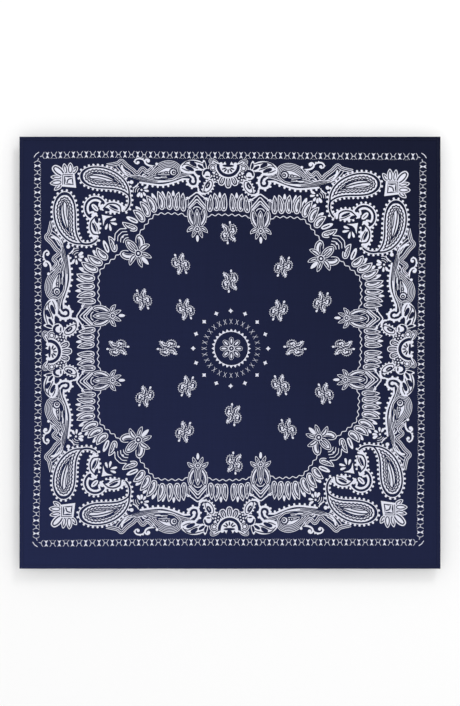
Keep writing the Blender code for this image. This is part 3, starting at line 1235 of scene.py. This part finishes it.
def turned_hem(side, turns, sizes, material):
    """Make one hem: its section carried along the side, mitred at both ends.

    A point of the section at depth d runs from one mitre to the other, over
    the half length less d, so both ends are cut at 45 degrees.
    """
    run, reach = side_reach(turns, sizes)
    steps = int(2 * run / HEM_STEP)
    angle = np.linspace(0.0, 2.0 * math.pi, HEM_RING, endpoint=False)
    # The section's points bunch up at its two round edges.
    depth = sizes.hem_width * (0.5 - 0.5 * np.cos(angle))
    share = np.linspace(-1.0, 1.0, steps)[:, None]
    along = share * (run - depth - MITRE_GAP * math.sqrt(0.5))
    height = hem_height(depth, along, sizes, hem_seed(turns))
    # Underneath it is flat, and rounds up to both edges as the eighth power.
    across = np.clip(1.0 - np.abs(2.0 * depth / sizes.hem_width - 1.0) ** 8, 0.0, 1.0)
    low = HEM_LIFT + (1.0 - np.sqrt(across)) * sizes.hem_height * 0.35
    z = np.where(np.sin(angle) > 1e-9, np.maximum(height, low), low)
    # The edges wander by sines. The outer one only wanders inwards.
    wander = 0.00012 * np.sin(along / 0.031 + turns) * np.sin(along / 0.083 + 2.0 * turns)
    edge = np.clip(depth / sizes.hem_width, 0.0, 1.0)
    x = reach - depth - np.abs(wander) * (1.0 - edge) + wander * edge
    rings = np.stack([x, along, z], axis=-1)
    # A point in the middle of each end closes it.
    points = np.concatenate([rings.reshape(-1, 3), rings[[0, -1]].mean(axis=1)])
    quads = tube_faces(steps, HEM_RING)[:, ::-1]
    here, after = loop_edges(HEM_RING).T
    tip = np.full(HEM_RING, steps * HEM_RING)
    base = (steps - 1) * HEM_RING
    first = np.stack([after, tip, here], axis=1)
    last = np.stack([tip + 1, after + base, here + base], axis=1)
    hem = new_piece("hem_roll_" + side, quarter_turned(points, turns), (quads, first, last), material)
    hem.data.set_sharp_from_angle(angle=math.radians(50.0))
    return hem


STITCH_SHARES = np.array([0.0, 0.2, 0.5, 0.8, 1.0])  # where a stitch has its rings
STITCH_GIRTH = np.array([0.0, 0.85, 1.0, 0.85, 0.0])  # their radius, over the thread's
STITCH_ARCH = np.array([-0.9, 0.1, 0.42, 0.1, -0.9])  # their height over the hem, over the same
STITCH_SIDES = 6


def sewn_row(side, turns, sizes, material):
    """Make one side's row of stitches.

    Each stitch is a spindle of six-sided rings: its girth times the cosine and
    sine of even angles. Its ends dip into the hem and its back arches over it.
    """
    run, reach = side_reach(turns, sizes)
    run -= STITCH_INSET
    count = int(2 * run / sizes.stitch_pitch)
    centres = ((np.arange(count) + 0.5) * (2 * run / count) - run)[:, None, None]
    rng = np.random.default_rng(40 + turns)
    ring = np.arange(STITCH_SIDES) * 2 * math.pi / STITCH_SIDES
    thread = sizes.thread_thickness / 2
    jitter = rng.normal(0.0, 0.00006, (count, 1, 1))
    lean = rng.normal(0.0, 0.035, (count, 1, 1))
    lengthwise = (STITCH_SHARES - 0.5)[:, None] * sizes.stitch_pitch * 0.84
    girth, arch_height = STITCH_GIRTH[:, None], STITCH_ARCH[:, None]
    x = reach - STITCH_INSET + jitter + lean * lengthwise + thread * girth * np.cos(ring)
    y = centres + lengthwise + 0.0 * ring
    ground = hem_height(np.full_like(centres, STITCH_INSET), centres, sizes, hem_seed(turns))
    z = ground + thread * (arch_height + girth * np.sin(ring)) + 0.00004
    points = np.stack([x, y, z], axis=-1)
    # Rings 1 to 3 are kept whole; the two tips are single points.
    rings = points[:, 1:4].reshape(count, 3 * STITCH_SIDES, 3)
    points = np.concatenate([rings, points[:, [0, -1], 0, :]], axis=1)
    here, after = loop_edges(STITCH_SIDES).T
    tip = np.full(STITCH_SIDES, 3 * STITCH_SIDES)
    last_ring = 2 * STITCH_SIDES
    first = np.stack([here, after, tip], axis=1)
    last = np.stack([here + last_ring, tip + 1, after + last_ring], axis=1)
    starts = np.arange(count)[:, None, None] * points.shape[1]
    groups = [
        (starts + faces).reshape(-1, faces.shape[1])
        for faces in (tube_faces(3, STITCH_SIDES)[:, ::-1], first, last)
    ]
    points = quarter_turned(points.reshape(-1, 3), turns)
    return new_piece("hem_stitches_" + side, points, groups, material)


# ---------------------------------------------------------------- materials


class Shader:
    """A small helper that adds and joins the nodes of one material."""

    def __init__(self, name, roughness):
        self.material = bpy.data.materials.new(name)
        self.material.use_nodes = True
        self.tree = self.material.node_tree
        self.surface = self.tree.nodes["Principled BSDF"]
        self.surface.inputs["Roughness"].default_value = roughness
        self.place = self.add("ShaderNodeTexCoord").outputs["Object"]

    def add(self, kind, settings=None, **inputs):
        """Add a node, set its properties and fill or join its inputs."""
        node = self.tree.nodes.new(kind)
        for key, value in (settings or {}).items():
            setattr(node, key, value)
        for key, value in inputs.items():
            self.fill(node, key.replace("_", " "), value)
        return node

    def fill(self, node, key, value):
        """Fill an input with a value, or join an output to it."""
        socket = node.inputs[int(key)] if key.isdigit() else node.inputs[key]
        if isinstance(value, bpy.types.NodeSocket):
            self.tree.links.new(value, socket)
        else:
            socket.default_value = value

    def math(self, operation, first, second=0.0):
        """Return first and second joined by a sum of the named kind."""
        node = self.add("ShaderNodeMath", {"operation": operation})
        self.fill(node, "0", first)
        self.fill(node, "1", second)
        return node.outputs[0]

    def noise(self, size, stretch=(1.0, 1.0, 1.0), detail=3.0, seed=0.0):
        """Return soft noise whose blobs are about size metres wide, by the object's place."""
        scale = tuple(side / size for side in stretch)
        moved = self.add("ShaderNodeMapping", Vector=self.place, Scale=scale, Location=(seed, seed, 0.0))
        node = self.add("ShaderNodeTexNoise", Vector=moved.outputs[0], Scale=1.0, Detail=detail)
        return node.outputs["Fac"]

    def spread(self, value, low, high, to_low, to_high):
        """Return a value moved from one range to another."""
        node = self.add("ShaderNodeMapRange", Value=value)
        for key, number in (("From Min", low), ("From Max", high), ("To Min", to_low), ("To Max", to_high)):
            self.fill(node, key, number)
        return node.outputs[0]

    def mix(self, share, first, second, blend="MIX"):
        """Return two colours mixed by a share."""
        node = self.add("ShaderNodeMix", {"data_type": "RGBA", "blend_type": blend})
        self.fill(node, "0", share)
        self.fill(node, "6", first)
        self.fill(node, "7", second)
        return node.outputs[2]

    def threads(self, pitch):
        """Return the height of a plain weave: two sets of ridges that cross, over and under."""
        half = math.pi / pitch
        scale = self.add("ShaderNodeVectorMath", {"operation": "SCALE"}, Scale=half)
        self.fill(scale, "0", self.place)
        split = self.add("ShaderNodeSeparateXYZ", Vector=scale.outputs[0])
        across = self.math("SINE", split.outputs[0])
        along = self.math("SINE", split.outputs[1])
        return self.math("ABSOLUTE", self.math("SUBTRACT", across, along))

    def bump(self, height, distance, strength=1.0, under=None):
        """Return a normal bumped by a height that stands for a distance in metres."""
        node = self.add("ShaderNodeBump", Height=height, Distance=distance, Strength=strength)
        if under is not None:
            self.fill(node, "Normal", under)
        return node.outputs[0]


# Painted reflection: the navy is lighter towards the lower left and darker towards the top right.
PAINTED_REFLECTION_ACROSS = 0.45  # share by which the painted reflection leaves the navy darker for each metre to the right
PAINTED_REFLECTION_ALONG = 0.58  # and for each metre towards the top edge


def navy_tone_and_painted_reflection(shader, navy):
    """Return the navy with its slow random drift in tone, a painted reflection that makes it lighter towards
    the lower left and darker towards the top right, and its uneven yarns.
    """
    slow = shader.spread(shader.noise(0.34, detail=2.0, seed=3.7), 0.3, 0.7, 0.95, 1.05)
    # Painted reflection: the navy darkens for each metre to the right and towards the top, so the lower left
    # is lighter.
    split = shader.add("ShaderNodeSeparateXYZ", Vector=shader.place)
    across = shader.math("MULTIPLY", split.outputs[0], PAINTED_REFLECTION_ACROSS)
    along = shader.math("MULTIPLY", split.outputs[1], PAINTED_REFLECTION_ALONG)
    slow = shader.math("SUBTRACT", slow, shader.math("ADD", across, along))
    warp = shader.noise(0.004, (1.0, 0.03, 1.0), 2.0, 1.3)
    weft = shader.noise(0.004, (0.03, 1.0, 1.0), 2.0, 8.1)
    yarn = shader.spread(shader.math("ADD", warp, weft), 0.7, 1.3, 0.95, 1.05)
    shade = shader.math("MULTIPLY", slow, yarn)
    grey = shader.add("ShaderNodeCombineColor", Red=shade, Green=shade, Blue=shade).outputs[0]
    return shader.mix(1.0, navy, grey, "MULTIPLY")


def printed_cotton(colours):
    """Navy cotton with white ink, matt, with a plain weave's bump."""
    shader = Shader("printed cotton", 0.86)
    # The navy carries the painted reflection: lighter towards the lower left, darker towards the top right.
    navy = navy_tone_and_painted_reflection(shader, tuple(colours.navy) + (1.0,))
    ink = shader.add("ShaderNodeAttribute", {"attribute_name": "ink", "attribute_type": "GEOMETRY"})
    worn = shader.spread(shader.noise(0.0016, detail=3.0, seed=5.0), 0.30, 0.62, 0.90, 1.0)
    cover = shader.math("MULTIPLY", ink.outputs["Fac"], worn)
    base = shader.mix(cover, navy, tuple(colours.ink) + (1.0,))
    shader.fill(shader.surface, "Base Color", base)
    weave = shader.threads(0.00045)
    rough = shader.spread(cover, 0.0, 1.0, 0.90, 0.78)
    shader.fill(shader.surface, "Roughness", rough)
    slub = shader.bump(shader.noise(0.02, detail=4.0, seed=2.0), 0.0004, 0.5)
    shader.fill(shader.surface, "Normal", shader.bump(weave, 0.00009, 0.7, slub))
    shader.surface.inputs["Specular IOR Level"].default_value = 0.12
    shader.surface.inputs["Sheen Weight"].default_value = 0.01
    shader.surface.inputs["Sheen Roughness"].default_value = 0.5
    return shader.material


def hem_cotton(colours):
    """The same cotton where it is turned and pressed into the hems."""
    shader = Shader("hem cotton", 0.86)
    # The hems carry the same painted reflection: lighter towards the lower left, darker towards the top
    # right.
    navy = navy_tone_and_painted_reflection(shader, tuple(colours.hem) + (1.0,))
    shader.fill(shader.surface, "Base Color", navy)
    slub = shader.bump(shader.noise(0.006, detail=4.0, seed=2.0), 0.0003, 0.6)
    shader.fill(shader.surface, "Normal", shader.bump(shader.threads(0.00045), 0.00006, 0.6, slub))
    shader.surface.inputs["Specular IOR Level"].default_value = 0.12
    shader.surface.inputs["Sheen Weight"].default_value = 0.01
    return shader.material


def sewing_thread(colours):
    """Twisted sewing thread, a shade lighter than the cloth."""
    shader = Shader("sewing thread", 0.6)
    twist = shader.noise(0.0006, (1.0, 1.0, 1.0), 2.0, 4.0)
    shade = shader.spread(twist, 0.3, 0.7, 0.75, 1.25)
    grey = shader.add("ShaderNodeCombineColor", Red=shade, Green=shade, Blue=shade).outputs[0]
    base = shader.mix(1.0, tuple(colours.thread) + (1.0,), grey, "MULTIPLY")
    shader.fill(shader.surface, "Base Color", base)
    shader.fill(shader.surface, "Normal", shader.bump(twist, 0.00008, 0.6))
    return shader.material


def once(name, make, colours):
    """Return a material by its name, made on first use."""
    return bpy.data.materials.get(name) or make(colours)


# ---------------------------------------------------------------- the add-on


class ScarfSizes(bpy.types.PropertyGroup):
    """Sizes of the scarf."""

    width: FloatProperty(
        name="Width", description="Outer size across the scarf, hems included",
        default=CAD_HIGH.x - CAD_LOW.x, min=0.3, unit="LENGTH", subtype="DISTANCE")
    length: FloatProperty(
        name="Length", description="Outer size along the scarf, hems included",
        default=CAD_HIGH.y - CAD_LOW.y, min=0.3, unit="LENGTH", subtype="DISTANCE")
    hem_width: FloatProperty(
        name="Hem width", description="Width of a turned hem",
        default=HEM_HIGH.x - HEM_LOW.x, min=0.002, unit="LENGTH", subtype="DISTANCE")
    hem_height: FloatProperty(
        name="Hem height", description="Height of a hem's folded layers",
        default=HEM_HIGH.z - HEM_LOW.z, min=0.0005, unit="LENGTH", subtype="DISTANCE")
    cloth_thickness: FloatProperty(
        name="Cloth thickness", description="Thickness of one layer of the cloth",
        default=0.00040, min=0.0002, unit="LENGTH", subtype="DISTANCE")
    stitch_pitch: FloatProperty(
        name="Stitch pitch", description="Distance from one stitch of a hem to the next",
        default=0.0030, min=0.001, unit="LENGTH", subtype="DISTANCE")
    thread_thickness: FloatProperty(
        name="Thread thickness", description="Thickness of the sewing thread",
        default=0.00038, min=0.0001, unit="LENGTH", subtype="DISTANCE")


class ScarfColours(bpy.types.PropertyGroup):
    """Colours of the scarf."""

    navy: FloatVectorProperty(
        name="Cloth", description="Colour of the dyed cloth",
        default=(0.0086, 0.0122, 0.0430), min=0.0, max=1.0, subtype="COLOR")
    ink: FloatVectorProperty(
        name="Ink", description="Colour of the printed pattern",
        default=(0.73, 0.74, 0.84), min=0.0, max=1.0, subtype="COLOR")
    hem: FloatVectorProperty(
        name="Hem", description="Colour of the hems",
        default=(0.0080, 0.0112, 0.0395), min=0.0, max=1.0, subtype="COLOR")
    thread: FloatVectorProperty(
        name="Thread", description="Colour of the sewing thread",
        default=(0.0130, 0.0175, 0.0530), min=0.0, max=1.0, subtype="COLOR")
    floor: FloatVectorProperty(
        name="Floor", description="Colour of the floor under the scarf",
        default=(0.90, 0.90, 0.90), min=0.0, max=1.0, subtype="COLOR")


class SCARF_OT_lay_cloth(bpy.types.Operator):
    """Lay the printed sheet of cloth"""

    bl_idname = "scarf.lay_cloth"
    bl_label = "Lay Printed Cloth"

    def execute(self, context):
        """Make the sheet and let it stand for the panel."""
        scene = context.scene
        material = once("printed cotton", printed_cotton, scene.scarf_colours)
        cloth = printed_cloth(scene.scarf_sizes, material)
        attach(cloth, "root")
        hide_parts("scarf_panel")
        return {"FINISHED"}


class SCARF_OT_turn_hems(bpy.types.Operator):
    """Turn the four hems"""

    bl_idname = "scarf.turn_hems"
    bl_label = "Turn Hems"

    def execute(self, context):
        """Make the four hems and let each stand for its bar."""
        scene = context.scene
        material = once("hem cotton", hem_cotton, scene.scarf_colours)
        for side, turns in HEM_SIDES:
            hem = turned_hem(side, turns, scene.scarf_sizes, material)
            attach(hem, "root")
            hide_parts("hem_" + side)
        return {"FINISHED"}


class SCARF_OT_sew_hems(bpy.types.Operator):
    """Sew the four hems"""

    bl_idname = "scarf.sew_hems"
    bl_label = "Sew Hems"

    def execute(self, context):
        scene = context.scene
        material = once("sewing thread", sewing_thread, scene.scarf_colours)
        goes_along = []
        for side, turns in HEM_SIDES:
            row = sewn_row(side, turns, scene.scarf_sizes, material)
            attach(row, "root")
            goes_along += [bpy.data.objects["hem_roll_" + side], row]
        return {"FINISHED"}


# ---------------------------------------------------------------- the stage

FLOOR_REACH = 6.0  # half side of the floor
BOARD_HEIGHT = 0.025  # the scarf lies on a board this high, so a soft shadow falls round it
BOARD_INSET = 0.022  # the board ends this far inside the scarf's edges
SKY_STRENGTH = 1.0
LAMP_PLACE = (1.13, 2.43, 2.25)
LAMP_POWER = 25.0  # watts
PHOTO_WIDTH = 460
PHOTO_HEIGHT = 706
MM_PER_PIXEL = 2.0833
CAMERA_LENS = 85.0
CAMERA_SENSOR = 36.0


def set_camera(scene):
    """Aim a camera straight down, as far up as makes the photo's height span its real size."""
    span = PHOTO_HEIGHT * MM_PER_PIXEL * MM
    lens = bpy.data.cameras.new("camera")
    lens.lens = CAMERA_LENS
    lens.sensor_width = CAMERA_SENSOR
    camera = bpy.data.objects.new("camera", lens)
    camera.location = (0.00004, -0.0006, span * CAMERA_LENS / CAMERA_SENSOR)
    scene.collection.objects.link(camera)
    scene.camera = camera


def soft_light(scene, name, place, target, size, power):
    """Add a rectangular lamp at a place, turned to a target."""
    lamp = bpy.data.lights.new(name, "AREA")
    lamp.shape = "RECTANGLE"
    lamp.size, lamp.size_y = size
    lamp.energy = power
    holder = bpy.data.objects.new(name, lamp)
    holder.location = place
    holder.rotation_euler = (Vector(target) - Vector(place)).to_track_quat("-Z", "Y").to_euler()
    scene.collection.objects.link(holder)


class SCARF_OT_set_stage(bpy.types.Operator):
    """Set the floor, the lights and the camera"""

    bl_idname = "scarf.set_stage"
    bl_label = "Set Stage"

    def execute(self, context):
        """Make a pale floor, soft light from all sides and the camera overhead."""
        scene = context.scene
        shader = Shader("pale floor", 0.9)
        shader.surface.inputs["Base Color"].default_value = tuple(scene.scarf_colours.floor) + (1.0,)
        corners = np.array([(-1, -1), (1, -1), (1, 1), (-1, 1)])
        level = np.full((4, 1), -BOARD_HEIGHT)
        ground = np.hstack([corners * FLOOR_REACH, level])
        floor = new_piece("floor", ground, [[(0, 1, 2, 3)]], shader.material, smooth=False)
        reach = np.array(CAD_HIGH[:2]) - BOARD_INSET
        low = np.hstack([corners * reach, level])
        points = np.vstack([low, low * (1, 1, 0)])
        sides = [(3, 2, 1, 0), (4, 5, 6, 7), (0, 1, 5, 4), (1, 2, 6, 5), (2, 3, 7, 6), (3, 0, 4, 7)]
        board = new_piece("laying_board", points, [sides], shader.material, smooth=False)
        world = bpy.data.worlds.new("studio")
        world.use_nodes = True
        world.node_tree.nodes["Background"].inputs["Color"].default_value = (1.0, 1.0, 1.0, 1.0)
        world.node_tree.nodes["Background"].inputs["Strength"].default_value = SKY_STRENGTH
        scene.world = world
        soft_light(scene, "softbox", LAMP_PLACE, (0.0, 0.0, 0.0), (0.8, 0.8), LAMP_POWER)
        set_camera(scene)
        scene.view_settings.view_transform = "Standard"
        return {"FINISHED"}


class SCARF_PT_maker(bpy.types.Panel):
    """Sizes, colours and the steps that make the scarf"""

    bl_idname = "SCARF_PT_maker"
    bl_label = "Printed Scarf"
    bl_space_type = "VIEW_3D"
    bl_region_type = "UI"
    bl_category = "Scarf"

    def draw(self, context):
        """List the sizes, the colours and the steps."""
        for settings in (context.scene.scarf_sizes, context.scene.scarf_colours):
            column = self.layout.column(align=True)
            for name in settings.__annotations__:
                column.prop(settings, name)
        for step in STEPS:
            self.layout.operator(step.bl_idname)


STEPS = (SCARF_OT_set_stage, SCARF_OT_lay_cloth, SCARF_OT_turn_hems, SCARF_OT_sew_hems)
CLASSES = (ScarfSizes, ScarfColours, *STEPS, SCARF_PT_maker)


def register():
    """Register the classes and hang the settings on the scene."""
    for part in CLASSES:
        bpy.utils.register_class(part)
    bpy.types.Scene.scarf_sizes = PointerProperty(type=ScarfSizes)
    bpy.types.Scene.scarf_colours = PointerProperty(type=ScarfColours)


def unregister():
    """Take the settings and the classes away again."""
    del bpy.types.Scene.scarf_colours
    del bpy.types.Scene.scarf_sizes
    for part in reversed(CLASSES):
        bpy.utils.unregister_class(part)


def main():
    """Make the stage and the scarf."""
    register()
    bpy.ops.scarf.set_stage()
    bpy.ops.scarf.lay_cloth()
    bpy.ops.scarf.turn_hems()
    bpy.ops.scarf.sew_hems()
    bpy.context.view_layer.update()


if __name__ == "__main__":
    main()
